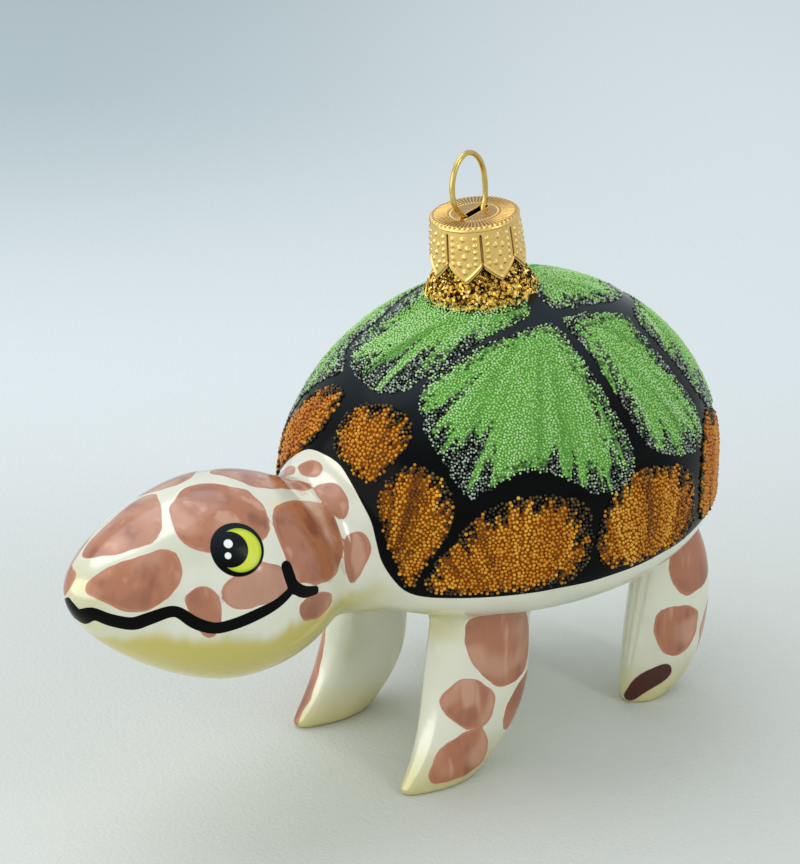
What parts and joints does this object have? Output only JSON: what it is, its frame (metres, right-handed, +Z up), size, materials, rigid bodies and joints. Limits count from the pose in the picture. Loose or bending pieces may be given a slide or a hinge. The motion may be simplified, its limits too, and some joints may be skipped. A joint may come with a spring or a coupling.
{
  "type": "blown glass turtle ornament",
  "caption": "Hollow glass turtle on four flat-soled legs, with an open pipe on its back under a stamped metal cap and a sprung wire hanger.",
  "frame": {"origin": "on the ground, under the middle of the bounding box", "axes": "+Z up, -Y towards the head, +X to the turtle's left"},
  "size_m": [0.061, 0.1184, 0.0951],
  "materials": {
    "painted_glass": "pearl lacquer and hand painting on blown glass, glass beads on the shell",
    "cap_metal": "stamped gold-coloured sheet",
    "hanger_wire": "drawn gold-coloured wire"
  },
  "bodies": {
    "root": {"glass_turtle": "painted_glass", "cap": "cap_metal", "hanger": "hanger_wire"}
  },
  "joints": []
}
